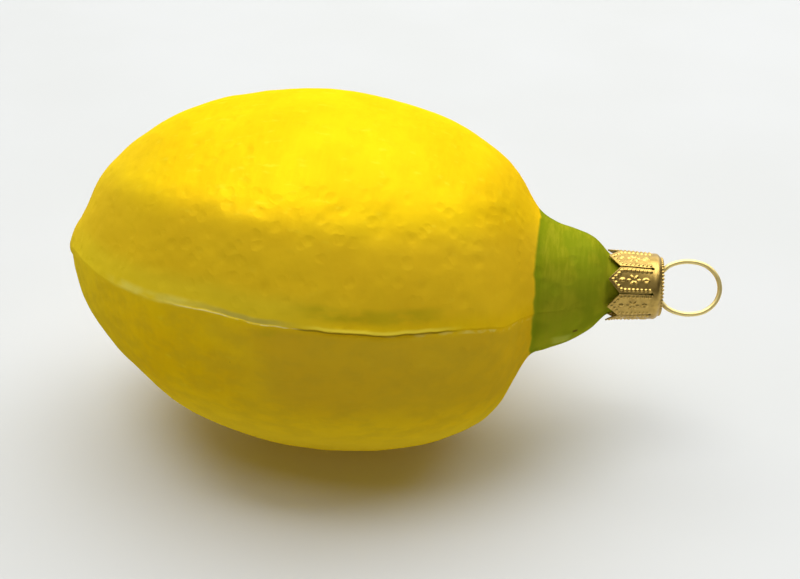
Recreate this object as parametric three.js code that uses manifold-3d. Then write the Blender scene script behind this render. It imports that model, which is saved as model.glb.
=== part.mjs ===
// A lemon-shaped hanging ornament of blown glass, lying on its belly.
// Millimetres, +Z up, +X along the ornament from the blossom tip to the hanging ring.
// Three pieces: the hollow glass body with its open neck tube, the stamped cap that
// slips over the tube, and the spring-wire hanger that is hooked into the cap.
import * as THREE from "three";
import { mergeVertices } from "three/addons/utils/BufferGeometryUtils.js";
import Module from "manifold-3d";

const wasm = await Module();
wasm.setup();

// ---- driving dimensions ----
const BELLY_RADIUS = 27.5;
const GLASS_WALL = 0.8;
const TUBE_RADIUS = 4.1; // the neck tube that the cap slips over
const CAP_START_X = 84.2; // from the blossom tip to the points of the cap's tabs
const CAP_LENGTH = 7.9;
const CAP_RADIUS = 4.9;
const CAP_SHEET = 0.35;
const TAB_COUNT = 8;
const WIRE_RADIUS = 0.35;
const RING_RADIUS = 3.92; // to the middle of the wire
const RING_STRETCH = 1.08; // the ring is a little longer along the axis than it is wide
const CLEARANCE = 0.45; // between the cap and the tube's cut end

// ---- placing ----
const MOULD_TILT = THREE.MathUtils.degToRad(13); // roll of the mould's parting plane
const FITTING_TILT = THREE.MathUtils.degToRad(32); // roll of the ring's plane from upright
const FITTING_LEAN = THREE.MathUtils.degToRad(1.5); // the cap sits a little askew
const TAB_TURN = THREE.MathUtils.degToRad(7.6); // one tab's middle, from the ring's face
const REST_FLAT_DEPTH = 0.25; // how far the rounded belly is cut back where it rests

const sheetGold = { roughness: 0.35, metalness: 1.0 };
const materials = {
  glass: new THREE.MeshStandardMaterial({ color: 0xf2cc12, roughness: 0.4, metalness: 0.0 }),
  cap: new THREE.MeshStandardMaterial({ color: 0xc79b4b, ...sheetGold }),
  wire: new THREE.MeshStandardMaterial({ color: 0xd9c26a, ...sheetGold }),
};

// ---- glass body ----
const BODY_SEGMENTS = 48;
const OUTER_STEPS = 44;
const INNER_STEPS = 24;
const CAP_FLOOR_X = CAP_START_X + CAP_LENGTH - CAP_SHEET;
const HALF_DIFFERENCE = 1.0; // at the belly, the lower half of the mould is deeper

// The outside of the glass, as (distance from the tip, radius above, radius below).
// The two halves of the mould differ, so the glass is a little fuller underneath.
const glassOutline = new THREE.CatmullRomCurve3(
  [
    [0, 0, 0],
    [0.4, 1.3, 1.2],
    [1.7, 3.8, 2.8],
    [4.6, 8.1, 9.2],
    [8.5, 14.2, 13.7],
    [14, 19.2, 18.5],
    [22, 23.6, 24],
    [32, 26, 27.2],
    [42, BELLY_RADIUS - HALF_DIFFERENCE, BELLY_RADIUS + HALF_DIFFERENCE],
    [52, 25, 28],
    [60, 22.7, 26],
    [66, 19.4, 23],
    [69.5, 16.1, 19.4],
    [71.8, 12.6, 14.5],
    [73.6, 10.4, 11.4], // the waist between the fruit and its neck
    [76, 9, 10.3],
    [79, 7.9, 8.9],
    [82, 6.7, 6.9],
    [CAP_START_X, 4.65, 4.65],
    [85.4, 4.2, 4.2],
    [87, TUBE_RADIUS, TUBE_RADIUS],
    [CAP_FLOOR_X - CLEARANCE, TUBE_RADIUS, TUBE_RADIUS],
  ].map(([x, above, below]) => new THREE.Vector3(x, above, below)),
  false,
  "catmullrom",
);

// Rows along the glass, moved inwards by inset: a lathe point and how far its circle sinks.
function glassRows(inset, steps) {
  const rows = [];
  for (let i = 0; i <= steps; i++) {
    const at = glassOutline.getPointAt(i / steps);
    const along = glassOutline.getTangentAt(i / steps);
    const slope = new THREE.Vector2(along.x, (along.y + along.z) / 2).normalize();
    const radius = i === 0 ? 0 : (at.y + at.z) / 2 - inset * slope.x;
    rows.push({
      point: new THREE.Vector2(radius, at.x + inset * slope.y),
      sink: (at.z - at.y) / 2,
    });
  }
  return rows;
}

function makeGlass() {
  const rows = [...glassRows(0, OUTER_STEPS), ...glassRows(GLASS_WALL, INNER_STEPS).reverse()];
  const halfFacet = Math.PI / BODY_SEGMENTS;
  const geometry = new THREE.LatheGeometry(
    rows.map((row) => row.point),
    BODY_SEGMENTS,
  );
  geometry.rotateY(halfFacet); // one facet, not an edge, faces straight down
  geometry.rotateZ(-Math.PI / 2);
  const position = geometry.getAttribute("position");
  let lowest = Infinity;
  for (let i = 0; i < position.count; i++) {
    const { sink } = rows[i % rows.length];
    position.setY(i, position.getY(i) - sink * Math.sin(MOULD_TILT));
    position.setZ(i, position.getZ(i) - sink * Math.cos(MOULD_TILT));
    lowest = Math.min(lowest, position.getZ(i));
  }
  for (let i = 0; i < position.count; i++) {
    position.setZ(i, Math.max(position.getZ(i), lowest + REST_FLAT_DEPTH));
  }
  return geometry;
}

// ---- joining and cutting ----
function toSolid(geometry) {
  const bare = geometry.clone();
  bare.deleteAttribute("normal");
  bare.deleteAttribute("uv");
  const merged = mergeVertices(bare, 1e-4);
  return new wasm.Manifold(
    new wasm.Mesh({
      numProp: 3,
      vertProperties: merged.getAttribute("position").array,
      triVerts: new Uint32Array(merged.index.array),
    }),
  );
}

function toGeometry(solid) {
  const mesh = solid.getMesh();
  const geometry = new THREE.BufferGeometry();
  geometry.setAttribute("position", new THREE.BufferAttribute(mesh.vertProperties, 3));
  geometry.setIndex(new THREE.BufferAttribute(mesh.triVerts, 1));
  geometry.computeVertexNormals();
  return geometry;
}

// ---- cap, with its axis along +X and its tabs' points at x = 0 ----
const CAP_SEGMENTS = 64;
const TAB_FLARE = 0.5; // the tabs' points stand out over the neck's shoulder
const FLARE_LENGTH = 2.0;
const SHOULDER = 0.9; // bevel between the cap's side and its top
const POINT_LENGTH = 1.7; // of each tab's pointed end
const SLIT_LENGTH = 6.6; // from the tabs' points to the end of a slit
const SLIT_WIDTH = 0.3;
const WIRE_HOLE_RADIUS = WIRE_RADIUS + 0.45;
const WIRE_HOLE_OFFSET = 2.15;

// The cap's cup, as a lathe outline of its inside and then its outside.
function makeCup() {
  const inner = CAP_RADIUS - CAP_SHEET;
  const shoulderX = CAP_LENGTH - SHOULDER;
  const outline = [
    [0, CAP_LENGTH - CAP_SHEET],
    [CAP_RADIUS - SHOULDER, CAP_LENGTH - CAP_SHEET],
    [inner, shoulderX],
    [inner, FLARE_LENGTH],
    [inner + TAB_FLARE, 0],
    [CAP_RADIUS + TAB_FLARE, 0],
    [CAP_RADIUS, FLARE_LENGTH],
    [CAP_RADIUS, shoulderX],
    [CAP_RADIUS - 0.3 * SHOULDER, CAP_LENGTH - 0.4 * SHOULDER],
    [CAP_RADIUS - SHOULDER, CAP_LENGTH],
    [0, CAP_LENGTH],
  ].map(([radius, x]) => new THREE.Vector2(radius, x));
  const geometry = new THREE.LatheGeometry(outline, CAP_SEGMENTS);
  geometry.rotateZ(-Math.PI / 2);
  return toSolid(geometry);
}

// What is cut away between two tabs: a V that narrows into a slit, standing along +Z.
function makeSlitCutter() {
  const halfTab = (Math.PI * (CAP_RADIUS + TAB_FLARE)) / TAB_COUNT;
  const halfSlit = SLIT_WIDTH / 2;
  const margin = 1;
  const shape = new THREE.Shape(
    [
      [-margin, halfTab],
      [-margin, -halfTab],
      [0, -halfTab],
      [POINT_LENGTH, -halfSlit],
      [SLIT_LENGTH, -halfSlit],
      [SLIT_LENGTH, halfSlit],
      [POINT_LENGTH, halfSlit],
      [0, halfTab],
    ].map(([x, y]) => new THREE.Vector2(x, y)),
  );
  return new THREE.ExtrudeGeometry(shape, { depth: 2 * CAP_RADIUS, bevelEnabled: false });
}

function makeWireHole(side) {
  const depth = 2 * SHOULDER;
  const hole = new THREE.CylinderGeometry(WIRE_HOLE_RADIUS, WIRE_HOLE_RADIUS, depth, 16);
  hole.rotateZ(Math.PI / 2);
  hole.translate(CAP_LENGTH, 0, side * WIRE_HOLE_OFFSET);
  return toSolid(hole);
}

function makeCap() {
  let cap = makeCup();
  for (let i = 0; i < TAB_COUNT; i++) {
    const angle = TAB_TURN + ((i + 0.5) * 2 * Math.PI) / TAB_COUNT;
    const cutter = makeSlitCutter();
    cutter.rotateX(Math.PI / 2 - angle); // angle 0 faces -Y
    cap = cap.subtract(toSolid(cutter));
  }
  return toGeometry(cap.subtract(makeWireHole(1)).subtract(makeWireHole(-1)));
}

// ---- hanger, in the cap's frame, with the ring in the plane of X and Z ----
const RING_CENTRE_X = CAP_LENGTH + 4.4;
const RING_REACH = RING_STRETCH * RING_RADIUS;
const WIRE_STEPS = 84;
const WIRE_QUARTER = 2; // segments of the wire's section in a quarter turn

// The wire's middle line, as (x, height): one leg, a shoulder and a quarter of the ring.
function hangerHalf() {
  const leg = [
    [-4.8, 4.6],
    [-1.6, 3.3],
    [2.3, 2.6],
    [CAP_LENGTH - 1.2, WIRE_HOLE_OFFSET],
    [CAP_LENGTH, WIRE_HOLE_OFFSET + 0.05],
    [CAP_LENGTH + 1.1, 3.15],
    [CAP_LENGTH + 2.6, 3.75],
  ];
  const arc = [90, 60, 30].map((degrees) => {
    const angle = THREE.MathUtils.degToRad(degrees);
    return [RING_CENTRE_X + RING_REACH * Math.cos(angle), RING_RADIUS * Math.sin(angle)];
  });
  return [...leg, ...arc];
}

function makeHanger() {
  const upper = hangerHalf();
  const lower = upper.map(([x, height]) => [x, -height]).reverse();
  const crown = [[RING_CENTRE_X + RING_REACH, 0]];
  const route = [...upper, ...crown, ...lower].map(
    ([x, height]) => new THREE.Vector3(x, 0, height),
  );
  const section = new THREE.Shape();
  section.absarc(0, 0, WIRE_RADIUS, 0, 2 * Math.PI);
  return new THREE.ExtrudeGeometry(section, {
    steps: WIRE_STEPS,
    curveSegments: 2 * WIRE_QUARTER,
    extrudePath: new THREE.CatmullRomCurve3(route, false, "centripetal"),
  });
}

// ---- assembly ----
function named(name, geometry, material) {
  const mesh = new THREE.Mesh(geometry, material);
  mesh.name = name;
  return mesh;
}

const fitting = new THREE.Group();
fitting.add(
  named("cap", makeCap(), materials.cap),
  named("hanger_wire", makeHanger(), materials.wire),
);
fitting.position.x = CAP_START_X;
fitting.rotation.set(-FITTING_TILT, -FITTING_LEAN, 0);

const ornament = new THREE.Group();
ornament.add(named("glass_body", makeGlass(), materials.glass), fitting);

// The origin is under the middle of the whole ornament, on the surface that it lies on.
const box = new THREE.Box3().setFromObject(ornament, true);
const middle = box.getCenter(new THREE.Vector3());
ornament.position.set(-middle.x, -middle.y, -box.min.z);

export default ornament;
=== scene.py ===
# The looks of a lemon-shaped hanging ornament of blown glass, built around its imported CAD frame.
# Metres, +Z up, +X along the ornament from the blossom tip to the hanging ring.
import math

import bmesh
import bpy
import numpy as np
from mathutils import Matrix, Vector, kdtree, noise


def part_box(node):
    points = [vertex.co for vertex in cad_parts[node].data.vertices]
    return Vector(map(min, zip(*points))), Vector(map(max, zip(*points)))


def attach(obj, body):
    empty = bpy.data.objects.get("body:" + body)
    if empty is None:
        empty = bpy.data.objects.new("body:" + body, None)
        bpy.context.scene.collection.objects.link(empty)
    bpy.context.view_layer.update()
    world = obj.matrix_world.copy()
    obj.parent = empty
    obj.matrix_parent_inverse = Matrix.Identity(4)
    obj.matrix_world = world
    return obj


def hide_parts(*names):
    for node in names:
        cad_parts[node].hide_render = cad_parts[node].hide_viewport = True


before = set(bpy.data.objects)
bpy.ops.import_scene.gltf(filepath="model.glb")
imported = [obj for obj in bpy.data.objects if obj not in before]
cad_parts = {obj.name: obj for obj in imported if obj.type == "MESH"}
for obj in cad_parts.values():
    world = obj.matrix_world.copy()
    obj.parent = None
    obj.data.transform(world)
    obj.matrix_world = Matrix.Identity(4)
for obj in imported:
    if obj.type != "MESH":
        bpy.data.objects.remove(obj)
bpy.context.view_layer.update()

MM = 0.001
FULL_TURN = 2 * math.pi
TINY = 1e-12  # keeps a division away from zero

# ---- driving dimensions, as the CAD has them ----
BELLY_RADIUS = 27.5 * MM
HALF_DIFFERENCE = 1.0 * MM  # half of how much deeper the mould's lower half is at the belly
MOULD_TILT = math.radians(13)  # roll of the mould's parting plane
GLASS_WALL = 0.8 * MM
CAP_START = 84.2 * MM  # from the blossom tip to the points of the cap's tabs
CAP_LENGTH = 7.9 * MM
CAP_RADIUS = 4.9 * MM
FITTING_TILT = math.radians(32)  # roll of the ring's plane from upright
FITTING_LEAN = math.radians(1.5)  # of the cap's axis from the ornament's
TAB_COUNT = 8
TAB_TURN = math.radians(7.6)  # of the tabs round the cap
WIRE_RADIUS = 0.35 * MM
RING_RADIUS = 3.92 * MM

# ---- where the ornament's axis lies in the frame ----
glass_low, glass_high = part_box("glass_body")
TIP_X = glass_low.x
AXIS_Y = (glass_low.y + glass_high.y) / 2 + HALF_DIFFERENCE * math.sin(MOULD_TILT)
AXIS_Z = glass_high.z - BELLY_RADIUS + HALF_DIFFERENCE * math.cos(MOULD_TILT)
REST_Z = glass_low.z

# ---- curves and meshes ----
UNIFORM = 0.0
CENTRIPETAL = 0.5
TABLE_STEPS = 12  # to a span of a smooth table


def catmull_rom(points, steps, spacing):
    """A smooth curve through the points, steps to a span, with uniform or centripetal spacing."""
    points = np.asarray(points, float)
    padded = np.vstack([2 * points[0] - points[1], points, 2 * points[-1] - points[-2]])
    through = np.linspace(0, 1, steps, endpoint=False)[:, None]
    spans = []
    for previous, start, end, following in zip(padded, padded[1:], padded[2:], padded[3:]):
        hops = (start - previous, end - start, following - end)
        before, across, after = (np.linalg.norm(hop) ** spacing for hop in hops)
        leave = (start - previous) / before - (end - previous) / (before + across)
        leave = leave * across + end - start
        reach = (following - end) / after - (following - start) / (across + after)
        reach = reach * across + end - start
        spans.append(
            start
            + leave * through
            + (3 * (end - start) - 2 * leave - reach) * through**2
            + (2 * (start - end) + leave + reach) * through**3
        )
    return np.vstack([*spans, points[-1:]])


def smooth_table(points):
    """A function that reads a smooth curve through (place, value) points."""
    curve = catmull_rom(points, TABLE_STEPS, CENTRIPETAL)
    return lambda place: np.interp(place, curve[:, 0], curve[:, 1])


def arc_lengths(route):
    """How far along a route of points each one is."""
    hops = np.linalg.norm(np.diff(route, axis=0), axis=1)
    return np.concatenate([[0], np.cumsum(hops)])


def tangents(route):
    """The unit direction of a route at each of its points."""
    direction = np.gradient(route, axis=0)
    return direction / np.linalg.norm(direction, axis=1, keepdims=True)


def ring_quads(rows, columns):
    """Quads that join each closed row of a grid to the next."""
    column = np.arange(columns)
    following = (column + 1) % columns
    base = np.arange(rows - 1)[:, None] * columns
    near = base + column
    far = base + following
    return np.stack([near, far, far + columns, near + columns], -1).reshape(-1, 4).tolist()


def smooth_object(name, bm, material):
    """A smooth-shaded object from a bmesh, with all of its faces turned outwards."""
    bmesh.ops.recalc_face_normals(bm, faces=bm.faces)
    mesh = bpy.data.meshes.new(name)
    bm.to_mesh(mesh)
    bm.free()
    mesh.shade_smooth()
    mesh.materials.append(material)
    made = bpy.data.objects.new(name, mesh)
    bpy.context.scene.collection.objects.link(made)
    return made


def noise_at(points, size, seed):
    """Smooth noise from about -1 to 1 at each point, with lumps of about that size."""
    shift = Vector((seed, -2 * seed, 3 * seed))
    return np.array([noise.noise(Vector(point) / size + shift) for point in points])


def layered_noise(points, layers):
    """The sum at each point of layers of noise, each given as (height, size, seed)."""
    return sum(height * noise_at(points, size, seed) for height, size, seed in layers)


# ---- glass body: its outline and the grid of its surface ----
OUTLINE_STEPS = 40
OUTER_SPACING = 0.45 * MM
HIDDEN_SPACING = 1.2 * MM  # on the neck tube, where nothing shows
INNER_SPACING = 5 * MM
COLUMNS = 360
SEAM_CROWDING = 5.0  # how much closer the columns stand along the two seams
SEAM_CROWD_WIDTH = math.radians(2.2)
TURN_SAMPLES = 20001
FRUIT_END = 73 * MM  # from the tip, where the pits stop
NECK_SHOWN = 1.5 * MM  # how far the fine rows go on under the cap

# The outside of the glass, as (distance from the tip, radius above, radius below), in mm.
GLASS_OUTLINE = [
    (0, 0, 0),
    (0.4, 1.3, 1.2),
    (1.7, 3.8, 2.8),
    (4.6, 8.1, 9.2),
    (8.5, 14.2, 13.7),
    (14, 19.2, 18.5),
    (22, 23.6, 24),
    (32, 26, 27.2),
    (42, 26.5, 28.5),
    (52, 25, 28),
    (60, 22.7, 26),
    (66, 19.4, 23),
    (69.5, 16.1, 19.4),
    (71.8, 12.6, 14.5),
    (73.6, 10.4, 11.4),
    (76, 9, 10.3),
    (79, 7.9, 8.9),
    (82, 6.7, 6.9),
    (84.2, 4.65, 4.65),
    (85.4, 4.2, 4.2),
    (87, 4.1, 4.1),
    (91.3, 4.1, 4.1),
]

# The near seam's height round the axis, from (distance from the tip in mm, degrees above level).
seam_line = smooth_table(
    [
        (0, 31),
        (4, 27),
        (10.6, 20),
        (17, 16.8),
        (29, 14.8),
        (42.5, 12.5),
        (53, 11.4),
        (66.6, 11.2),
        (70.5, 7.2),
        (74, 4),
        (92, 3),
    ]
)

# How the seam wanders to either side of that line, as (height, size, seed) of its noise.
SEAM_WANDER = [(0.3 * MM, 6 * MM, 3.1), (0.16 * MM, 1.7 * MM, 5.2)]
SEAM_WANDER_RADIUS = 5 * MM  # nearer the axis than this, the seam wanders less


class GlassOutline:
    """The glass's outline by length along it: x, mean radius, sink of the centre, and slope."""

    def __init__(self):
        curve = catmull_rom(np.array(GLASS_OUTLINE) * MM, OUTLINE_STEPS, UNIFORM)
        self.x = curve[:, 0]
        self.radius = (curve[:, 1] + curve[:, 2]) / 2
        self.sink = (curve[:, 2] - curve[:, 1]) / 2
        self.length = arc_lengths(np.stack([self.x, self.radius], -1))
        self.along_x = np.gradient(self.x, self.length)
        self.along_radius = np.gradient(self.radius, self.length)

    def length_at(self, x):
        """The length along the outline at a distance from the tip."""
        return np.interp(x, self.x, self.length)

    def at(self, length, inset=0.0):
        """x, radius and sink at lengths along the outline, moved inwards by inset."""
        x, radius, sink, along_x, along_radius = (
            np.interp(length, self.length, values)
            for values in (self.x, self.radius, self.sink, self.along_x, self.along_radius)
        )
        return x + inset * along_radius, np.maximum(radius - inset * along_x, 0), sink


def glass_points(x, radius, sink, angle):
    """Points of the glass at an angle round the axis, measured upwards from -Y."""
    towards_sink = -sink * np.sin(angle - MOULD_TILT)
    reach = towards_sink + np.sqrt(np.maximum(radius**2 - sink**2 + towards_sink**2, 0))
    return np.stack(
        [TIP_X + x + 0 * angle, AXIS_Y - reach * np.cos(angle), AXIS_Z + reach * np.sin(angle)], -1
    )


def turn_from_seam(turn):
    """How far a turn from the near seam is from the nearer of the two seams."""
    return np.abs((turn + math.pi / 2) % math.pi - math.pi / 2)


def column_turns():
    """Angles from the near seam for the grid's columns, closer together at both seams."""
    turn = np.linspace(0, FULL_TURN, TURN_SAMPLES)
    crowding = SEAM_CROWDING * np.exp(-((turn_from_seam(turn) / SEAM_CROWD_WIDTH) ** 2))
    density = 1 + crowding
    reached = np.concatenate([[0], np.cumsum((density[1:] + density[:-1]) / 2)])
    wanted = np.arange(COLUMNS) / COLUMNS * reached[-1]
    return np.interp(wanted, reached, turn)


def surface_normals(points):
    """Outward normals of a grid of points whose rows are closed rings along +X."""
    around = np.roll(points, -1, axis=1) - np.roll(points, 1, axis=1)
    along = np.gradient(points, axis=0)
    normal = np.cross(along, around)
    normal = normal / np.maximum(np.linalg.norm(normal, axis=-1, keepdims=True), TINY)
    outwards = points[..., 1:] - np.array([AXIS_Y, AXIS_Z])
    facing = np.sum(normal[..., 1:] * outwards, axis=-1, keepdims=True)
    return np.where(facing < 0, -normal, normal)


# ---- glass body: what raises and lowers its surface ----
GOLDEN_ANGLE = math.pi * (3 - math.sqrt(5))
PIT_COUNT = 2000
PIT_SEED = 11
PIT_RADIUS = (0.6 * MM, 1.25 * MM)
PIT_DEPTH = (0.02 * MM, 0.11 * MM)
PIT_JITTER = 1 * MM
PIT_RARITY = 1.5  # over 1, large pits are rarer than small ones
PIT_LEAST_DEPTH = 0.3  # the shallowest pit of a size, as a share of the deepest

# The glass's unevenness, as (height, size, seed) of its noise.
WAVINESS = [
    (0.22 * MM, 17 * MM, 1.7),
    (0.14 * MM, 7 * MM, 4.4),
    (0.09 * MM, 3.6 * MM, 9.2),
    (0.03 * MM, 1.8 * MM, 6.3),
]
TIP_FADE = 2 * MM  # the heights rise from nothing over this length
CAP_FADE = 4 * MM  # and fall to nothing over this one
CAP_FADE_END = CAP_START + 1 * MM

# How the parting line is shaped, by distance from the tip in mm: the crisp lip, which is on the
# lower half where this is below 0 and on the upper half where it is over 0, and the soft keel.
SEAM_LIP = 0.24 * MM  # how far one half of the mould stands out from the other at its fullest
SEAM_LIP_EDGE = 0.09 * MM
SEAM_LIP_WIDTH = 0.45 * MM
SEAM_KEEL = 1 * MM
SEAM_KEEL_WIDTH = 2.4 * MM
seam_lip = smooth_table(
    [
        (0, 0),
        (20, 0),
        (26, -0.2),
        (33, -0.3),
        (40, -0.25),
        (44, 0.4),
        (48, 1),
        (57, 1),
        (64, 0.4),
        (92, 0),
    ]
)
seam_keel = smooth_table(
    [
        (0, 0.1),
        (6, 0.32),
        (20, 0.3),
        (35, 0.16),
        (60, 0.14),
        (72, 0.1),
        (92, 0),
    ]
)

# A soft rounded shoulder along the upper half, and how it fades by distance from the tip in mm.
SHOULDER = 0.6 * MM
SHOULDER_PLACE = 13.5 * MM  # above the seam
SHOULDER_WIDTH = 4.0 * MM
shoulder_fade = smooth_table(
    [
        (0, 0),
        (8, 0.3),
        (15, 1),
        (36, 1),
        (50, 0.45),
        (62, 0.15),
        (72, 0),
        (92, 0),
    ]
)


def scatter_pits(outline, draw):
    """Points spread evenly, but not regularly, over the fruit."""
    fruit_length = outline.length_at(FRUIT_END)
    length = np.linspace(0, fruit_length, PIT_COUNT)
    _, radius, _ = outline.at(length)
    share = np.cumsum(radius)
    order = (np.arange(PIT_COUNT) + 0.5) / PIT_COUNT
    place = np.interp(order, share / share[-1], length)
    place = np.clip(place + draw.uniform(-1, 1, PIT_COUNT) * PIT_JITTER, 0, fruit_length)
    x, radius, sink = outline.at(place)
    jitter = draw.uniform(-1, 1, PIT_COUNT) * PIT_JITTER / np.maximum(radius, PIT_JITTER)
    return glass_points(x, radius, sink, np.arange(PIT_COUNT) * GOLDEN_ANGLE + jitter)


def pit_heights(points, outline):
    """How far the pits of the peel lower each point of the glass."""
    draw = np.random.default_rng(PIT_SEED)
    tree = kdtree.KDTree(len(points))
    for index, point in enumerate(points):
        tree.insert(point, index)
    tree.balance()
    height = np.zeros(len(points))
    for pit in scatter_pits(outline, draw):
        largeness = draw.uniform() ** PIT_RARITY
        radius = np.interp(largeness, (0, 1), PIT_RADIUS)
        depth = np.interp(largeness * draw.uniform(PIT_LEAST_DEPTH, 1), (0, 1), PIT_DEPTH)
        for _, index, distance in tree.find_range(pit, radius):
            height[index] -= depth * (1 - (distance / radius) ** 2) ** 2
    return height


def shoulder_heights(x, above_seam):
    """How far the soft shoulder raises each point of the glass."""
    across = (above_seam - SHOULDER_PLACE) / SHOULDER_WIDTH
    return SHOULDER * shoulder_fade(x / MM) * np.exp(-(across**2))


def seam_heights(x, above_seam):
    """How far the mould's parting line raises each point of the glass."""
    step = np.tanh(above_seam / SEAM_LIP_EDGE) * np.exp(-np.abs(above_seam) / SEAM_LIP_WIDTH)
    keel = np.exp(-np.abs(above_seam) / SEAM_KEEL_WIDTH)
    return SEAM_LIP * seam_lip(x / MM) * step + SEAM_KEEL * seam_keel(x / MM) * keel


def surface_heights(points, x, above_seam, outline):
    """How far its waviness, pits, seam and shoulder together raise each point of the glass."""
    flat = points.reshape(-1, 3)
    height = layered_noise(flat, WAVINESS) + pit_heights(flat, outline)
    height = height.reshape(points.shape[:2])
    height = height + seam_heights(x, above_seam) + shoulder_heights(x, above_seam)
    return height * np.clip(x / TIP_FADE, 0, 1) * np.clip((CAP_FADE_END - x) / CAP_FADE, 0, 1)


# ---- glass body: the mesh ----
FAR_FROM_SEAM = 1.0  # metres, for the inside, which has no seam


def glass_outside(outline, turns):
    """The outside's rings of points, with each one's x and its height above the nearer seam."""
    total = outline.length[-1]
    neck_end = outline.length_at(CAP_START + NECK_SHOWN)
    shown = np.linspace(0, neck_end, round(neck_end / OUTER_SPACING))
    tube = np.linspace(neck_end, total, round((total - neck_end) / HIDDEN_SPACING) + 1)[1:]
    x, radius, sink = (values[:, None] for values in outline.at(np.concatenate([shown, tube])))
    wander = layered_noise(x * (1, 0, 0), SEAM_WANDER)[:, None]
    seam_angle = np.radians(seam_line(x / MM)) + wander / np.maximum(radius, SEAM_WANDER_RADIUS)
    points = glass_points(x, radius, sink, seam_angle + turns)
    above_seam = np.where(turns < math.pi, 1, -1) * turn_from_seam(turns) * radius
    height = surface_heights(points, x, above_seam, outline)
    points = points + surface_normals(points) * height[..., None]
    points[..., 2] = np.maximum(points[..., 2], REST_Z)
    return points, x + 0 * above_seam, above_seam


def glass_inside(outline, turns):
    """The inside's rings of points, from the end of the neck tube back to the tip."""
    total = outline.length[-1]
    length = np.linspace(total, 0, round(total / INNER_SPACING))
    x, radius, sink = (values[:, None] for values in outline.at(length, GLASS_WALL))
    return glass_points(x, radius, sink, turns + MOULD_TILT), x + 0 * turns


def make_glass(material):
    """The blown shell: its outside, the cut end of its neck tube and its inside, in one mesh."""
    outline = GlassOutline()
    turns = column_turns()
    outer, outer_x, outer_seam = glass_outside(outline, turns)
    inner, inner_x = glass_inside(outline, turns)
    rows = np.concatenate([outer, inner])
    distances = np.concatenate([outer_x, inner_x])
    heights = np.concatenate([outer_seam, np.full(inner_x.shape, FAR_FROM_SEAM)])

    bm = bmesh.new()
    from_tip = bm.verts.layers.float.new("from_tip")
    above_seam = bm.verts.layers.float.new("above_seam")
    for point, distance, height in zip(rows.reshape(-1, 3), distances.ravel(), heights.ravel()):
        vertex = bm.verts.new(point)
        vertex[from_tip] = distance
        vertex[above_seam] = height
    bm.verts.ensure_lookup_table()
    for quad in ring_quads(len(rows), COLUMNS):
        bm.faces.new([bm.verts[i] for i in quad])
    for pole in (bm.verts[:COLUMNS], bm.verts[-COLUMNS:]):
        bmesh.ops.pointmerge(bm, verts=list(pole), merge_co=pole[0].co)
    return smooth_object("lemon_glass", bm, material)


# ---- materials: the tools ----
EVEN = (1, 1, 1)  # noise that is stretched along no axis


def colour(red, green, blue):
    """An opaque colour, in linear light."""
    return (red, green, blue, 1)


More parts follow.
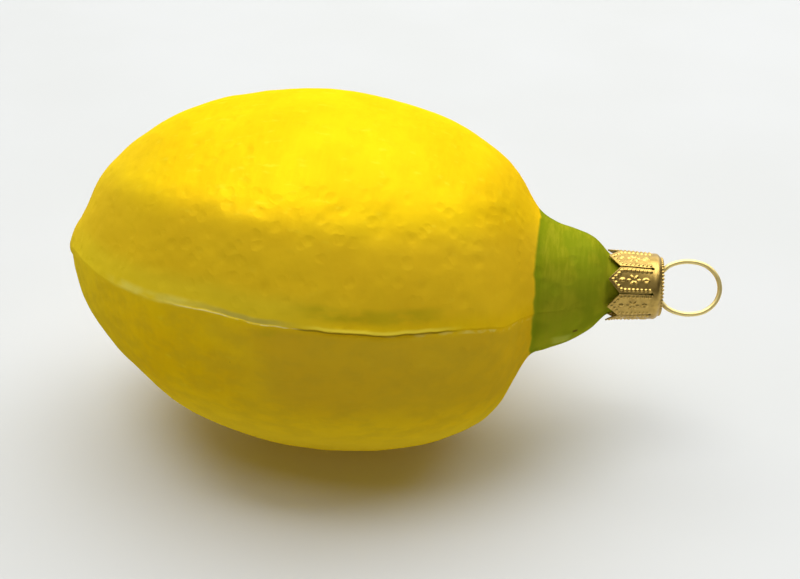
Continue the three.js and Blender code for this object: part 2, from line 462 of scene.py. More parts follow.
class Paint:
    """A new material and its nodes, with a short method for each kind of node it uses."""

    def __init__(self, name, roughness, metallic=0.0):
        self.material = bpy.data.materials.new(name)
        self.material.use_nodes = True
        self.tree = self.material.node_tree
        self.shader = self.tree.nodes["Principled BSDF"]
        self.shader.inputs["Roughness"].default_value = roughness
        self.shader.inputs["Metallic"].default_value = metallic

    def put(self, socket, value):
        """Gives a socket a value, or a link where the value is another node's output."""
        if isinstance(value, bpy.types.NodeSocket):
            self.tree.links.new(value, socket)
        else:
            socket.default_value = value

    def add(self, kind, values, output=0, **settings):
        """A new node with these input values and settings; what it gives is one of its outputs."""
        node = self.tree.nodes.new("ShaderNode" + kind)
        for name, setting in settings.items():
            setattr(node, name, setting)
        for place, value in values.items():
            self.put(node.inputs[place], value)
        return node.outputs[output]

    def millimetres(self, name):
        """A distance that the mesh keeps at each of its points."""
        metres = self.add("Attribute", {}, "Fac", attribute_name=name)
        return self.math("DIVIDE", metres, MM)

    def place(self, *stretch):
        """The surface point in millimetres, each axis multiplied by its stretch."""
        point = self.add("TexCoord", {}, "Object")
        scale = [factor / MM for factor in stretch]
        return self.add("VectorMath", {0: point, 1: scale}, operation="MULTIPLY")

    def math(self, operation, a, b=0.0):
        return self.add("Math", {0: a, 1: b}, operation=operation)

    def times(self, a, b):
        return self.math("MULTIPLY", a, b)

    def rise(self, value, low, high):
        """0 at low and beyond it, 1 at high and beyond it, and smooth between them."""
        ends = {"Value": value, "From Min": low, "From Max": high}
        return self.add("MapRange", ends, interpolation_type="SMOOTHSTEP")

    def within(self, value, low, full_low, full_high, high):
        """1 between the two full values, falling smoothly to 0 at low and high."""
        return self.times(self.rise(value, low, full_low), self.rise(value, high, full_high))

    def noise(self, point, size, detail=2.0, roughness=0.5):
        """Smooth noise round 0.5 with lumps of that size in the point's own units."""
        values = {"Vector": point, "Scale": 1 / size, "Detail": detail, "Roughness": roughness}
        return self.add("TexNoise", values)

    def patches(self, point, size, low, high, detail=2.0, roughness=0.5):
        """1 in patches, where noise of that size is over high, and 0 where it is under low."""
        return self.rise(self.noise(point, size, detail, roughness), low, high)

    def mix(self, share, a, b):
        """The colour a where share is 0, b where it is 1, and between them a blend of both."""
        return self.add("Mix", {0: share, 6: a, 7: b}, 2, data_type="RGBA")

    def coats(self, under, layers):
        """A colour with others laid over it in turn, each as (colour, where it is, strength)."""
        for over, where, strength in layers:
            under = self.mix(self.times(where, strength), under, over)
        return under

    def bump(self, height, depth, under=None):
        """A normal roughened by a height, on top of another bump where one is given."""
        values = {"Height": height, "Strength": 1.0, "Distance": depth}
        if under is not None:
            values["Normal"] = under
        return self.add("Bump", values)

    def finish(self, **inputs):
        """Puts each value on the shader's input of that name and gives the finished material."""
        for name, value in inputs.items():
            self.put(self.shader.inputs[name.replace("_", " ")], value)
        return self.material

    def let_light_through(self, tint):
        """Thin painted glass lets some light through: each surface tints the light it lets pass."""
        is_shadow = self.add("LightPath", {}, "Is Shadow Ray")
        clear = self.add("BsdfTransparent", {"Color": tint})
        surface = self.add("MixShader", {0: is_shadow, 1: self.shader.outputs[0], 2: clear})
        self.put(self.tree.nodes["Material Output"].inputs["Surface"], surface)


# ---- materials: the lacquered glass ----
YELLOW = colour(0.82, 0.52, 0.006)
CLOUDY_YELLOW = colour(0.87, 0.585, 0.007)
MOTTLED_YELLOW = colour(0.74, 0.48, 0.006)
TIP_YELLOW = colour(0.83, 0.65, 0.035)
BRUSHED_YELLOW = colour(0.89, 0.62, 0.008)
SCUFFED_YELLOW = colour(0.89, 0.67, 0.03)
NECK_YELLOW = colour(0.78, 0.45, 0.01)
FLANK_YELLOW = colour(0.81, 0.51, 0.022)
# Painted shade beneath the parting line:
SHADE_BELOW_SEAM_YELLOW = colour(0.66, 0.41, 0.022)
# Painted light from the floor on the underside:
FLOOR_LIT_YELLOW = colour(0.96, 0.685, 0.024)
BLOTCHED_YELLOW = colour(0.58, 0.385, 0.022)

# Painted light for a lighter band along the upper side of the parting line:
LIT_SEAM_YELLOW = colour(0.85, 0.65, 0.025)
WORN_YELLOW = colour(0.88, 0.74, 0.12)
GREY_GROOVE = colour(0.58, 0.48, 0.09)
PALE_EDGE = colour(0.9, 0.77, 0.27)
# Painted highlight on the upper half's lip along the parting line:
LIP_HIGHLIGHT_YELLOW = colour(0.95, 0.76, 0.06)
# Painted shadow in the crease below that lip:
CREASE_SHADOW = colour(0.36, 0.24, 0.012)
PALE_FLECK = colour(0.85, 0.7, 0.16)
OLIVE = colour(0.5, 0.39, 0.008)

GREEN = colour(0.3, 0.3, 0.011)
TOP_GREEN = colour(0.2, 0.225, 0.005)
LOWER_GREEN = colour(0.37, 0.42, 0.013)
STROKE_GREEN = colour(0.38, 0.355, 0.018)
PATCH_GREEN = colour(0.185, 0.235, 0.007)
# Painted highlight low on the side of the neck:
NECK_HIGHLIGHT_GREEN = colour(0.52, 0.55, 0.08)
RIM_GREEN = colour(0.2, 0.26, 0.005)
DIRT = colour(0.14, 0.1, 0.01)

LACQUER_TINT = colour(0.6, 0.54, 0.3)
LACQUER_SPECULAR = colour(1, 0.8, 0.04)
LACQUER_ROUGHNESS = (0.37, 0.47)
PLAIN_ROUGHNESS = 0.45  # for a viewer that shows one roughness all over
YELLOW_SHINE = 0.145  # how metallic each paint is
GREEN_SHINE = 0.05
SHINE_FADE = (0.97, 0.6)  # how glancing a view is where the shine is gone, and where it is full
GRAIN_DEPTH = 0.012 * MM
PEEL_DEPTH = 0.03 * MM

GREEN_START = 73.5  # mm from the tip, where the painted neck begins
GREEN_WAVE = 1.6  # mm that its edge waves
GREEN_EDGE = (0.5, 1.0)  # mm past the start, between which the yellow turns to green
DENT_SPACING = 2.2  # mm, of the peel's small round dents
DENT_RADIUS = 0.95  # mm
DENT_DEPTH = 0.06  # mm
DENT_BEND = 0.9  # mm that the dents' pattern is bent out of line
DENT_BEND_RATE = 0.6  # waves of the bending to a millimetre
DENT_FULLNESS = 1.25  # over 1, a dent is narrower at its bottom than a bowl
SPECK_SPACING = 7.0  # mm
SPECK_RADIUS = (0.006, 0.016)  # as shares of the spacing, where it is full and where it ends
SPECK_STRENGTH = 0.7


def lacquered_glass():
    """Satin yellow lacquer, green on the neck, worn pale along the mould's parting line, with
    painted light and shade along that line and underneath.
    """
    paint = Paint("satin_lacquer", PLAIN_ROUGHNESS, YELLOW_SHINE)
    paint.shader.inputs["Specular IOR Level"].default_value = 0.0
    paint.shader.inputs["Specular Tint"].default_value = LACQUER_SPECULAR
    point = paint.place(*EVEN)
    from_tip = paint.millimetres("from_tip")
    above_seam = paint.millimetres("above_seam")

    edge_wave = paint.times(paint.noise(point, size=5.0), GREEN_WAVE)
    from_edge = paint.math("ADD", paint.math("SUBTRACT", from_tip, GREEN_START), edge_wave)
    is_green = paint.rise(from_edge, *GREEN_EDGE)
    yellow = yellow_paint(paint, point, from_tip, above_seam)
    green = green_paint(paint, from_edge, above_seam)
    body = paint.mix(is_green, yellow, green)
    specks = specks_of_dirt(paint, point, from_tip, above_seam)

    low, high = LACQUER_ROUGHNESS
    patchy = paint.patches(point, size=4.0, low=0.3, high=0.7, detail=3.0)
    roughness = paint.add("MapRange", {"Value": patchy, "To Min": low, "To Max": high})
    ends = {"Value": is_green, "To Min": YELLOW_SHINE, "To Max": GREEN_SHINE}
    shine = paint.add("MapRange", ends)
    glancing = paint.add("LayerWeight", {"Blend": 0.5}, "Facing")
    dulled = paint.times(shine, paint.rise(glancing, *SHINE_FADE))
    paint.let_light_through(LACQUER_TINT)
    return paint.finish(
        Base_Color=paint.mix(specks, body, DIRT),
        Normal=peel_bump(paint, point),
        Roughness=roughness,
        Metallic=dulled,
    )


def yellow_paint(paint, point, from_tip, above_seam):
    """The fruit's yellow: cloudy, brushed and scuffed, and paler at the tip than by the neck."""
    across = paint.place(1.4, 0.3, 0.3)  # for strokes that run round the fruit
    along = paint.place(0.35, 1.1, 1.1)  # for strokes that run from end to end
    cloudy = paint.patches(point, size=11.0, low=0.35, high=0.65)
    mottled = paint.patches(point, size=2.6, low=0.4, high=0.72, detail=3.0)
    brushed = paint.patches(across, size=1.0, low=0.35, high=0.75)
    scuffed = paint.patches(along, size=0.9, low=0.6, high=0.74, detail=3.0)
    flank = paint.within(above_seam, 0, 3, 10, 17)
    yellow = paint.mix(cloudy, YELLOW, CLOUDY_YELLOW)
    coats = [
        (MOTTLED_YELLOW, mottled, 0.3),
        (TIP_YELLOW, paint.rise(from_tip, 24, 2), 0.6),
        (BRUSHED_YELLOW, brushed, 0.22),
        (SCUFFED_YELLOW, scuffed, 0.35),
        (NECK_YELLOW, paint.rise(from_tip, 63, 72), 0.35),
        (FLANK_YELLOW, flank, 0.5),
    ]
    yellow = paint.coats(yellow, coats)
    yellow = lower_half(paint, from_tip, above_seam, yellow)
    return seam_wear_and_shading(paint, from_tip, above_seam, yellow)


def lower_half(paint, from_tip, above_seam, yellow):
    """The lower half's paint: painted shade darkens it beneath the parting line, painted light from
    the floor makes it pale underneath, and it is blotched at the sides.
    """
    under_line = paint.within(above_seam, -19, -10, -1.2, 0)
    full_part = paint.within(from_tip, 28, 43, 68, 78)
    side = paint.within(above_seam, -26, -16, -2, 1)
    along = paint.place(0.6, 1, 1)
    blotches = paint.patches(along, size=2.6, low=0.36, high=0.66, detail=4.0, roughness=0.55)
    coats = [
        # Painted shade beneath the parting line.
        (SHADE_BELOW_SEAM_YELLOW, paint.times(under_line, full_part), 0.65),
        # Painted light from the floor on the underside.
        (FLOOR_LIT_YELLOW, paint.rise(above_seam, -11, -24), 0.9),
        (BLOTCHED_YELLOW, paint.times(blotches, side), 0.34),
    ]
    return paint.coats(yellow, coats)


def seam_wear_and_shading(paint, from_tip, above_seam, yellow):
    """The parting line's paint: worn pale near the tip, grey in the groove and flecked beyond, with
    painted light above the line, a painted highlight on a lip and a painted shadow in the crease
    below it.
    """
    everywhere = 1.0
    soft = paint.patches(paint.place(0.4, 1, 1), size=2.2, low=0.3, high=0.62, detail=3.0)
    chipped = paint.patches(paint.place(0.5, 1, 1), size=0.9, low=0.3, high=0.6)
    flecked = paint.patches(paint.place(0.3, 1, 1), size=1.1, low=0.42, high=0.7)

    # Each band as (colour, extent from the tip in mm, extent above the seam in mm, how it is
    # broken up, strength). An extent says where the band starts, is full, fades and ends.
    bands = [
        # Painted light: a lighter band along the upper side of the parting line.
        (LIT_SEAM_YELLOW, (2, 10, 40, 52), (-0.5, 0.3, 2.2, 5.5), everywhere, 0.6),
        (OLIVE, (37, 39.5, 42, 44.5), (-2.0, -1.4, -0.8, -0.35), soft, 0.5),
        (OLIVE, (41, 46, 58, 64), (0.9, 2.0, 2.7, 3.9), soft, 0.6),
        (WORN_YELLOW, (13, 18, 27, 33), (-0.5, 0, 0.5, 1.4), soft, 0.7),
        (GREY_GROOVE, (27, 34, 38, 44), (-0.02, 0.12, 0.45, 1.0), everywhere, 0.75),
        (PALE_EDGE, (24, 28, 42, 46), (-0.2, -0.12, -0.06, 0.02), chipped, 1.0),
        # Painted highlight on the upper half's lip.
        (LIP_HIGHLIGHT_YELLOW, (42, 47, 60, 65), (0.02, 0.08, 0.3, 0.7), everywhere, 0.8),
        # Painted shadow in the crease below the lip.
        (CREASE_SHADOW, (42, 44, 61, 65), (-0.32, -0.22, -0.04, 0.05), everywhere, 0.85),
        (PALE_FLECK, (52, 57, 70, 76), (-0.8, -0.5, -0.3, -0.12), flecked, 0.6),
    ]
    layers = []
    for over, along, across, broken, strength in bands:
        on_line = paint.times(paint.within(from_tip, *along), paint.within(above_seam, *across))
        layers.append((over, paint.times(on_line, broken), strength))
    return paint.coats(yellow, layers)


def green_paint(paint, from_edge, above_seam):
    """Thin green brushed round the neck: darker on top, lighter below, darker along its edge, and
    with a painted highlight low on one side.
    """
    across = paint.place(2.0, 0.3, 0.3)
    strokes = paint.patches(across, size=1.0, low=0.38, high=0.66, detail=3.0, roughness=0.6)
    uneven = paint.patches(paint.place(1, 0.8, 0.8), size=4.0, low=0.42, high=0.6)
    # Where the painted highlight lies, along the neck and round it.
    highlight_along = paint.within(from_edge, 3.4, 4.4, 5.8, 7.0)
    highlight_round = paint.within(above_seam, -7.6, -6.6, -5.4, -4.4)
    rim = paint.within(from_edge, 0.4, 0.9, 1.2, 2.4)
    coats = [
        (TOP_GREEN, paint.rise(above_seam, 1, 8), 0.75),
        (LOWER_GREEN, paint.rise(above_seam, 1.5, -3), 0.55),
        (STROKE_GREEN, strokes, 0.42),
        (PATCH_GREEN, uneven, 0.5),
        # Painted highlight: a pale patch low on the side of the neck.
        (NECK_HIGHLIGHT_GREEN, paint.times(highlight_along, highlight_round), 0.6),
        (RIM_GREEN, rim, 0.45),
    ]
    return paint.coats(GREEN, coats)


def specks_of_dirt(paint, point, from_tip, above_seam):
    """Tiny dark specks here and there, and one larger fleck low on the neck."""
    full, edge = SPECK_RADIUS
    values = {"Vector": point, "Scale": 1 / SPECK_SPACING}
    distance = paint.add("TexVoronoi", values, "Distance")
    small = paint.times(paint.rise(distance, edge, full), SPECK_STRENGTH)
    along = paint.within(from_tip, 79.3, 79.6, 80.0, 80.3)
    across = paint.within(above_seam, -4.8, -4.5, -4.2, -3.9)
    return paint.math("MAXIMUM", small, paint.times(along, across))


def peel_bump(paint, point):
    """The smallest unevenness of the surface: fine grain, soft peel and small round dents."""
    fine = paint.bump(paint.noise(point, size=0.5), GRAIN_DEPTH)
    peel = paint.bump(paint.noise(point, size=1.3, detail=1.0), PEEL_DEPTH, fine)
    return paint.bump(dents(paint, point), -DENT_DEPTH * MM, peel)


def dents(paint, point):
    """1 at the middle of each round dent, falling to 0 at its rim. The dents come in patches."""
    wavy = paint.add("TexNoise", {"Vector": point, "Scale": DENT_BEND_RATE}, "Color")
    bend = {0: wavy, 1: (DENT_BEND,) * 3, 2: point}
    bent = paint.add("VectorMath", bend, operation="MULTIPLY_ADD")
    values = {"Vector": bent, "Scale": 1 / DENT_SPACING}
    distance = paint.add("TexVoronoi", values, "Distance")
    share = paint.math("DIVIDE", distance, DENT_RADIUS / DENT_SPACING)
    inside = paint.math("SUBTRACT", 1.0, paint.times(share, share))
    bowl = paint.math("POWER", paint.math("MAXIMUM", inside, 0.0), DENT_FULLNESS)
    return paint.times(bowl, paint.patches(point, size=5.0, low=0.25, high=0.6))


# ---- materials: the metal and the floor ----
TARNISH_STRENGTH = 0.6
TARNISH_LEAST = 0.45
BRASS_GRAIN_DEPTH = 0.012 * MM
FLOOR_ROUGHNESS = 0.7
FLOOR_SHADE = colour(0.53, 0.54, 0.53)
FLOOR_TINT = colour(0.545, 0.555, 0.55)


def brass(name, tint, shade, roughness):
    """Bright lacquered metal, duller and darker where the stamping is low."""
    paint = Paint(name, roughness, 1.0)
    relief = paint.add("Attribute", {}, "Fac", attribute_name="relief")
    point = paint.place(*EVEN)
    tarnish = paint.patches(point, size=0.9, low=0.35, high=0.75, detail=3.0)
    low = paint.times(paint.rise(relief, 0.4, 0.05), paint.math("ADD", tarnish, TARNISH_LEAST))
    return paint.finish(
        Base_Color=paint.coats(tint, [(shade, low, TARNISH_STRENGTH)]),
        Normal=paint.bump(paint.noise(point, size=0.35, detail=3.0), BRASS_GRAIN_DEPTH),
    )


def pale_floor():
    """A pale matt floor, very faintly uneven in its colour."""
    paint = Paint("pale_floor", FLOOR_ROUGHNESS)
    faint = paint.patches(paint.place(*EVEN), size=60.0, low=0.3, high=0.7)
    return paint.finish(Base_Color=paint.mix(faint, FLOOR_SHADE, FLOOR_TINT))


# ---- cap: stamped sheet, in its own frame with its axis along +X and its tabs' points at 0 ----
SHEET = 0.2 * MM
SLIT_LENGTH = 6.5 * MM
SLIT_WIDTH = 0.2 * MM
SLIT_EYE_PLACE = 6.25 * MM  # the small eye in which each slit ends
SLIT_EYE_LENGTH = 0.16 * MM
SLIT_EYE_DEPTH = 0.14 * MM
POINT_LENGTH = 1.65 * MM
POINT_BLUNTNESS = 0.06 * MM
TAB_ROWS = 76
TAB_COLUMNS = 42
SLIT_COLUMNS = 3
SECTOR_COLUMNS = TAB_COLUMNS + 1 + SLIT_COLUMNS
TAB_HALF_WIDTH = math.pi * CAP_RADIUS / TAB_COUNT - SLIT_WIDTH / 2
TAB_SEED = 5
TAB_LEAN = (0.2 * MM, 0.34 * MM)  # how far a tab leans out at its point
TAB_FLARE = (0.2 * MM, 0.4 * MM)  # how far its very tip curls out
FLARE_LENGTH = 1.9 * MM
TAB_STEP = 0.06 * MM  # the tabs lie this much deeper than the band
TAB_STEP_SLOPE = 4.0  # the step is whole at one part in this many of a tab's length
TAB_FLATNESS = 0.65  # 0 for round tabs, 1 for flat ones
TAB_FLATNESS_SLOPE = 2.2  # and likewise the flatness

BEAD_RADIUS = 0.25 * MM
BEAD_HEIGHT = 0.17 * MM
BEAD_PITCH = 0.6 * MM
BEAD_INSET = 0.42 * MM  # from a tab's edge to the middle of its row of beads
BEAD_ROW_END = 5.95 * MM
BEAD_ROW_CORNER = POINT_LENGTH + 0.25 * MM
BEAD_ROW_POINT = 0.62 * MM
BOSS_FULLNESS = 0.7  # under 1, a boss has a flatter top than a dome

# The spots down a tab's middle, as (place, (half length, half width), height).
TAB_SPOTS = [
    (1.95 * MM, (0.42 * MM, 0.33 * MM), 0.2 * MM),
    (2.88 * MM, (0.3 * MM, 0.2 * MM), 0.15 * MM),
    (4.32 * MM, (0.3 * MM, 0.2 * MM), 0.15 * MM),
]
FLOWER_PLACE = 3.6 * MM
FLOWER_RADIUS = 0.5 * MM  # to the middle of each petal
PETAL_TURNS = np.radians((55, 125, 235, 305))
PETAL_SIZE = (0.4 * MM, 0.17 * MM)
PETAL_HEIGHT = 0.16 * MM
OVAL_PLACE = 5.32 * MM
OVAL_SIZE = (0.52 * MM, 0.4 * MM)
OVAL_HOLLOW_SIZE = (0.3 * MM, 0.2 * MM)
OVAL_HEIGHT = 0.2 * MM
OVAL_HOLLOW_DEPTH = 0.24 * MM

RIM_STEPS = 7
RIM_BEADS = 48
RIM_BEAD_PLACE = 0.62  # along the rim's outline, from the slits' ends to the flat top
RIM_BEAD_SIZE = (0.25 * MM, 0.235 * MM)
RIM_BEAD_HEIGHT = 0.22 * MM
WIRE_HOLE_RADIUS = 0.75 * MM
WIRE_HOLE_OFFSET = 2.15 * MM
WIRE_HOLE_SIDES = 28

# The cap's edge above the slits, as (distance from the tabs' points, radius), in mm.
RIM_OUTLINE = [
    (6.5, 4.9),
    (6.95, 4.9),
    (7.25, 4.78),
    (7.6, 4.42),
    (7.82, 4.12),
    (7.88, 3.8),
    (7.88, 3.2),
]


def boss(along, across, middle, size, height, turn=0.0):
    """Height of one oval raised spot at points of a surface, given along it and across it."""
    cosine, sine = math.cos(turn), math.sin(turn)
    far_along = along - middle[0]
    far_across = across - middle[1]
    reach = ((far_along * cosine + far_across * sine) / size[0]) ** 2
    reach = reach + ((far_across * cosine - far_along * sine) / size[1]) ** 2
    return height * np.maximum(1 - reach, 0) ** BOSS_FULLNESS


def bead_places():
    """Middles of the beads down both sides of a tab and round its point."""
    side = TAB_HALF_WIDTH - BEAD_INSET
    half = [(BEAD_ROW_END, side), (BEAD_ROW_CORNER, side)]
    other_half = [(along, -across) for along, across in reversed(half)]
    route = np.array([*half, (BEAD_ROW_POINT, 0), *other_half])
    lengths = arc_lengths(route)
    wanted = np.linspace(0, lengths[-1], round(lengths[-1] / BEAD_PITCH) + 1)
    return np.stack([np.interp(wanted, lengths, route[:, k]) for k in (0, 1)], -1)


def tab_relief(along, across):
    """The stamped pattern on one tab: edging of beads, spots, a flower and an oval ring."""
    bosses = [(place, (BEAD_RADIUS, BEAD_RADIUS), BEAD_HEIGHT, 0) for place in bead_places()]
    bosses += [((place, 0), size, height, 0) for place, size, height in TAB_SPOTS]
    for turn in PETAL_TURNS:
        middle = (FLOWER_PLACE + FLOWER_RADIUS * math.cos(turn), FLOWER_RADIUS * math.sin(turn))
        bosses.append((middle, PETAL_SIZE, PETAL_HEIGHT, turn))
    relief = np.zeros_like(across)
    for middle, size, height, turn in bosses:
        relief = np.maximum(relief, boss(along, across, middle, size, height, turn))
    oval = boss(along, across, (OVAL_PLACE, 0), OVAL_SIZE, OVAL_HEIGHT)
    hollow = boss(along, across, (OVAL_PLACE, 0), OVAL_HOLLOW_SIZE, OVAL_HOLLOW_DEPTH)
    return np.maximum(relief, oval - hollow)


def cap_points(along, radius, angle):
    """Points of the cap at an angle round its axis, measured upwards from -Y."""
    return np.stack([along + 0 * angle, -radius * np.cos(angle), radius * np.sin(angle)], -1)


def tab_surface(index, lean, flare):
    """One tab's grid of points and relief; lean and flare bend it away from the glass."""
    along = np.linspace(0, SLIT_LENGTH, TAB_ROWS)[:, None]
    width = TAB_HALF_WIDTH * np.minimum(1, (along + POINT_BLUNTNESS) / POINT_LENGTH)
    from_eye = (along - SLIT_EYE_PLACE) / SLIT_EYE_LENGTH
    width = width - SLIT_EYE_DEPTH * np.exp(-(from_eye**2))
    across = width * np.linspace(-1, 1, TAB_COLUMNS + 1)
    relief = tab_relief(along + 0 * across, across)
    angle = across / CAP_RADIUS
    free = 1 - along / SLIT_LENGTH
    tip = np.maximum(1 - along / FLARE_LENGTH, 0)
    flatness = TAB_FLATNESS * np.clip(TAB_FLATNESS_SLOPE * free, 0, 1)
    flattened = 1 + flatness * (1 / np.cos(angle) - 1)
    radius = (CAP_RADIUS - TAB_STEP * np.clip(TAB_STEP_SLOPE * free, 0, 1)) * flattened
    radius = radius + lean * free + flare * tip**2 + relief
    return cap_points(along, radius, angle + TAB_TURN + index * FULL_TURN / TAB_COUNT), relief


def rim_angles():
    """Angles of the band's columns: the tabs' own, with a few more across each slit."""
    half = TAB_HALF_WIDTH / CAP_RADIUS
    gap = FULL_TURN / TAB_COUNT - 2 * half
    tab = np.linspace(-half, half, TAB_COLUMNS + 1)
    slit = half + gap * np.arange(1, SLIT_COLUMNS + 1) / (SLIT_COLUMNS + 1)
    sectors = np.arange(TAB_COUNT)[:, None] * FULL_TURN / TAB_COUNT
    return TAB_TURN + (sectors + np.concatenate([tab, slit])).ravel()


def rim_surface():
    """The closed band above the slits, its bevel with a row of beads, and the top's edge."""
    outline = catmull_rom(np.array(RIM_OUTLINE) * MM, RIM_STEPS, CENTRIPETAL)
    tangent = tangents(outline)
    length = arc_lengths(outline)
    angle = rim_angles()
    pitch = FULL_TURN / RIM_BEADS
    bead_radius = np.interp(RIM_BEAD_PLACE, length / length[-1], outline[:, 1])
    around = ((angle + pitch / 2) % pitch - pitch / 2) * bead_radius
    from_row = (length - RIM_BEAD_PLACE * length[-1])[:, None]
    shape = (len(length), len(angle))
    rows = np.broadcast_to(from_row, shape)
    relief = boss(rows, np.broadcast_to(around, shape), (0, 0), RIM_BEAD_SIZE, RIM_BEAD_HEIGHT)
    along = outline[:, :1] - relief * tangent[:, 1:]
    radius = outline[:, 1:] + relief * tangent[:, :1]
    return cap_points(along, radius, angle), relief


def add_vertices(bm, points, relief, layer):
    """A vertex for each point, which keeps how high the stamping stands there."""
    vertices = []
    for point, height in zip(points.reshape(-1, 3), relief.ravel()):
        vertex = bm.verts.new(point)
        vertex[layer] = height / BEAD_HEIGHT
        vertices.append(vertex)
    return vertices


def add_top(bm, edge):
    """The flat top inside the ring of vertices, with the hanger's two holes."""
    loops = [edge]
    turns = np.linspace(0, FULL_TURN, WIRE_HOLE_SIDES, endpoint=False)
    for offset in (-WIRE_HOLE_OFFSET, WIRE_HOLE_OFFSET):
        across = WIRE_HOLE_RADIUS * np.cos(turns)
        upwards = offset + WIRE_HOLE_RADIUS * np.sin(turns)
        loops.append([bm.verts.new((edge[0].co.x, y, z)) for y, z in zip(across, upwards)])
    edges = []
    for loop in loops:
        for first, second in zip(loop, loop[1:] + loop[:1]):
            edges.append(bm.edges.get((first, second)) or bm.edges.new((first, second)))
    bmesh.ops.triangle_fill(bm, use_beauty=True, edges=edges)


def add_tab(bm, index, bend, edge, layer):
    """One tab, whose last row of vertices is the band's own edge."""
    points, relief = tab_surface(index, *bend)
    vertices = add_vertices(bm, points[:-1], relief[:-1], layer) + edge
    width = len(edge)
    for row in range(TAB_ROWS - 1):
        for column in range(TAB_COLUMNS):
            corner = row * width + column
            quad = (corner, corner + 1, corner + width + 1, corner + width)
            bm.faces.new([vertices[i] for i in quad])


def place_in_cap(obj):
    """Moves a mesh made in the cap's own frame to where the cap sits on the neck."""
    seat = Matrix.Translation((TIP_X + CAP_START, AXIS_Y, AXIS_Z))
    turn = Matrix.Rotation(-FITTING_TILT, 4, "X") @ Matrix.Rotation(-FITTING_LEAN, 4, "Y")
    obj.data.transform(seat @ turn)


def make_cap(material):
    """The crown cap: eight tabs, the band and bevel above them, and the top with its holes."""
    draw = np.random.default_rng(TAB_SEED)
    bm = bmesh.new()
    layer = bm.verts.layers.float.new("relief")
    rim_points, rim_relief = rim_surface()
    rows, columns = rim_relief.shape
    rim = add_vertices(bm, rim_points, rim_relief, layer)
    for quad in ring_quads(rows, columns):
        bm.faces.new([rim[i] for i in quad])
    for index in range(TAB_COUNT):
        bend = (draw.uniform(*TAB_LEAN), draw.uniform(*TAB_FLARE))
        first = index * SECTOR_COLUMNS
        add_tab(bm, index, bend, rim[first : first + TAB_COLUMNS + 1], layer)
    add_top(bm, rim[-columns:])
    cap = smooth_object("stamped_cap", bm, material)
    place_in_cap(cap)
    shell = cap.modifiers.new("sheet", "SOLIDIFY")
    shell.thickness = SHEET
    shell.offset = -1
    return cap


# ---- hanger: one spring wire, in the cap's frame, with the ring in the plane of X and Z ----
WIRE_SIDES = 16
WIRE_STEPS = 10
RING_CENTRE = CAP_LENGTH + 4.4 * MM
RING_STRETCH = 1.08  # how much longer the ring is along the ornament than across it
RING_TURNS = np.radians((90, 60, 30))

# One leg, from its end in the neck out to the ring, as (distance from the cap's top, from its
# axis), in mm.
WIRE_LEG = [
    (-12.7, 4.6),
    (-9.5, 3.3),
    (-5.6, 2.6),
    (-1.2, 2.15),
    (0, 2.2),
    (1.1, 3.15),
    (2.6, 3.75),
]


def hanger_route():
    """The wire's middle line, from one leg inside the neck round the ring to the other."""
    upper = [(CAP_LENGTH + along * MM, height * MM) for along, height in WIRE_LEG]
    for turn in RING_TURNS:
        along = RING_CENTRE + RING_STRETCH * RING_RADIUS * math.cos(turn)
        upper.append((along, RING_RADIUS * math.sin(turn)))
    far_end = (RING_CENTRE + RING_STRETCH * RING_RADIUS, 0)
    lower = [(along, -height) for along, height in reversed(upper)]
    return catmull_rom([*upper, far_end, *lower], WIRE_STEPS, CENTRIPETAL)


def make_hanger(material):
    """The hanger: a round wire swept along its route, with both of its ends closed."""
    route = hanger_route()
    tangent = tangents(route)
    angle = np.linspace(0, FULL_TURN, WIRE_SIDES, endpoint=False)
    outwards = WIRE_RADIUS * np.cos(angle)
    sideways = np.broadcast_to(WIRE_RADIUS * np.sin(angle), (len(route), WIRE_SIDES))
    along = route[:, :1] - tangent[:, 1:] * outwards
    upwards = route[:, 1:] + tangent[:, :1] * outwards
    bm = bmesh.new()
    rings = np.stack([along, sideways, upwards], -1)
    vertices = [bm.verts.new(point) for point in rings.reshape(-1, 3)]
    for quad in ring_quads(len(route), WIRE_SIDES):
        bm.faces.new([vertices[i] for i in quad])
    bm.faces.new(vertices[:WIRE_SIDES])
    bm.faces.new(vertices[-WIRE_SIDES:])
    hanger = smooth_object("hanger_ring", bm, material)
    place_in_cap(hanger)
    return hanger


# ---- camera, light and floor ----
CAMERA_AZIMUTH = math.radians(8.06)  # from straight in front, towards the ring
CAMERA_ELEVATION = math.radians(32)
CAMERA_DISTANCE = 174.7 * MM
CAMERA_LENS = 50.67  # focal length in mm, on a sensor 36 mm wide
CAMERA_SENSOR = 36
CAMERA_NEAR = 10 * MM
AIM_FROM_TIP = 52.85 * MM
AIM_BELOW_AXIS = 3.7 * MM
FLOOR_REACH = 4  # metres from the middle to each side
SURROUNDINGS = 0.03  # how bright the room is beyond the lamps

# The oval lamps, all a metre away, as (name, azimuth and angle from overhead in degrees, size in
# metres, glow). Azimuth 0 is towards -Y and 90 towards +X. Glow is how bright a lamp's face is,
# where 1 is a full white.
LAMPS = [
    ("overhead_softbox", 175, 14, (2.02, 0.87), 3.47),
    ("back_softbox", 176, 66, (2.03, 0.74), 1.42),
    ("side_lamp", 310, 18, (0.56, 0.56), 4.6),
    ("right_lamp", 133, 47, (0.5, 0.5), 1.35),
    ("front_lamp", 10, 55, (0.7, 0.7), 0.2),
]


def direction(azimuth, elevation):
    """The unit vector at an azimuth, in which 0 is -Y and a quarter turn +X, and an elevation."""
    level = math.cos(elevation)
    return Vector((level * math.sin(azimuth), -level * math.cos(azimuth), math.sin(elevation)))


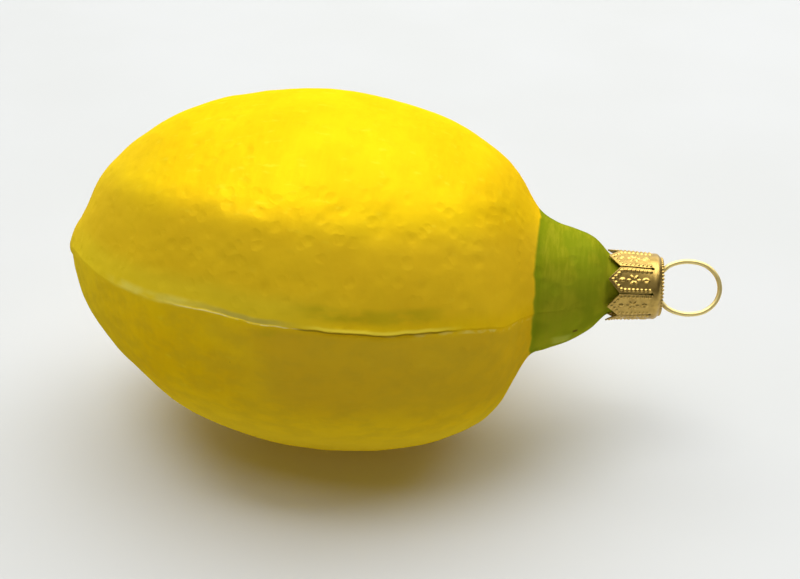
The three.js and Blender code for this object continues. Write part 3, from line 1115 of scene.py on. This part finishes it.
def make_camera():
    """The camera, which looks down on the ornament's near side from a little to the right."""
    back = direction(CAMERA_AZIMUTH, CAMERA_ELEVATION)
    target = Vector((TIP_X + AIM_FROM_TIP, AXIS_Y, AXIS_Z - AIM_BELOW_AXIS))
    data = bpy.data.cameras.new("camera")
    data.sensor_width = CAMERA_SENSOR
    data.lens = CAMERA_LENS
    data.clip_start = CAMERA_NEAR
    camera = bpy.data.objects.new("camera", data)
    camera.location = target + CAMERA_DISTANCE * back
    camera.rotation_euler = (-back).to_track_quat("-Z", "Y").to_euler()
    bpy.context.scene.collection.objects.link(camera)
    bpy.context.scene.camera = camera


def make_floor():
    """The floor, level with the lowest point of the glass."""
    bm = bmesh.new()
    corners = ((-1, -1), (1, -1), (1, 1), (-1, 1))
    bm.faces.new([bm.verts.new((x * FLOOR_REACH, y * FLOOR_REACH, REST_Z)) for x, y in corners])
    floor = smooth_object("floor", bm, pale_floor())


def add_lamp(name, azimuth, from_overhead, size, glow):
    """One oval lamp, which faces the ornament."""
    towards = direction(math.radians(azimuth), math.radians(90 - from_overhead))
    data = bpy.data.lights.new(name, "AREA")
    data.shape = "ELLIPSE"
    data.size, data.size_y = size
    face = math.pi / 4 * size[0] * size[1]
    data.energy = glow * math.pi * face
    light = bpy.data.objects.new(name, data)
    light.location = towards
    light.rotation_euler = towards.to_track_quat("Z", "Y").to_euler()
    bpy.context.scene.collection.objects.link(light)


def make_lights():
    """Dim surroundings and the lamps."""
    world = bpy.data.worlds.new("surroundings")
    bpy.context.scene.world = world
    world.use_nodes = True
    background = world.node_tree.nodes["Background"]
    background.inputs["Color"].default_value = colour(1, 1, 1)
    background.inputs["Strength"].default_value = SURROUNDINGS
    for lamp in LAMPS:
        add_lamp(*lamp)


def add_piece(piece, node):
    """A piece of the ornament, in place of its CAD node."""
    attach(piece, "root")
    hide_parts(node)


# Each metal as (tint, shade where the stamping is low, roughness).
STAMPED_GOLD = (colour(0.66, 0.45, 0.12), colour(0.36, 0.235, 0.062), 0.38)
DRAWN_GOLD = (colour(0.95, 0.78, 0.34), colour(0.9, 0.72, 0.28), 0.52)

make_camera()
add_piece(make_glass(lacquered_glass()), "glass_body")
add_piece(make_cap(brass("stamped_gold", *STAMPED_GOLD)), "cap")
add_piece(make_hanger(brass("drawn_gold", *DRAWN_GOLD)), "hanger_wire")
make_floor()
make_lights()
bpy.context.scene.view_settings.view_transform = "Standard"
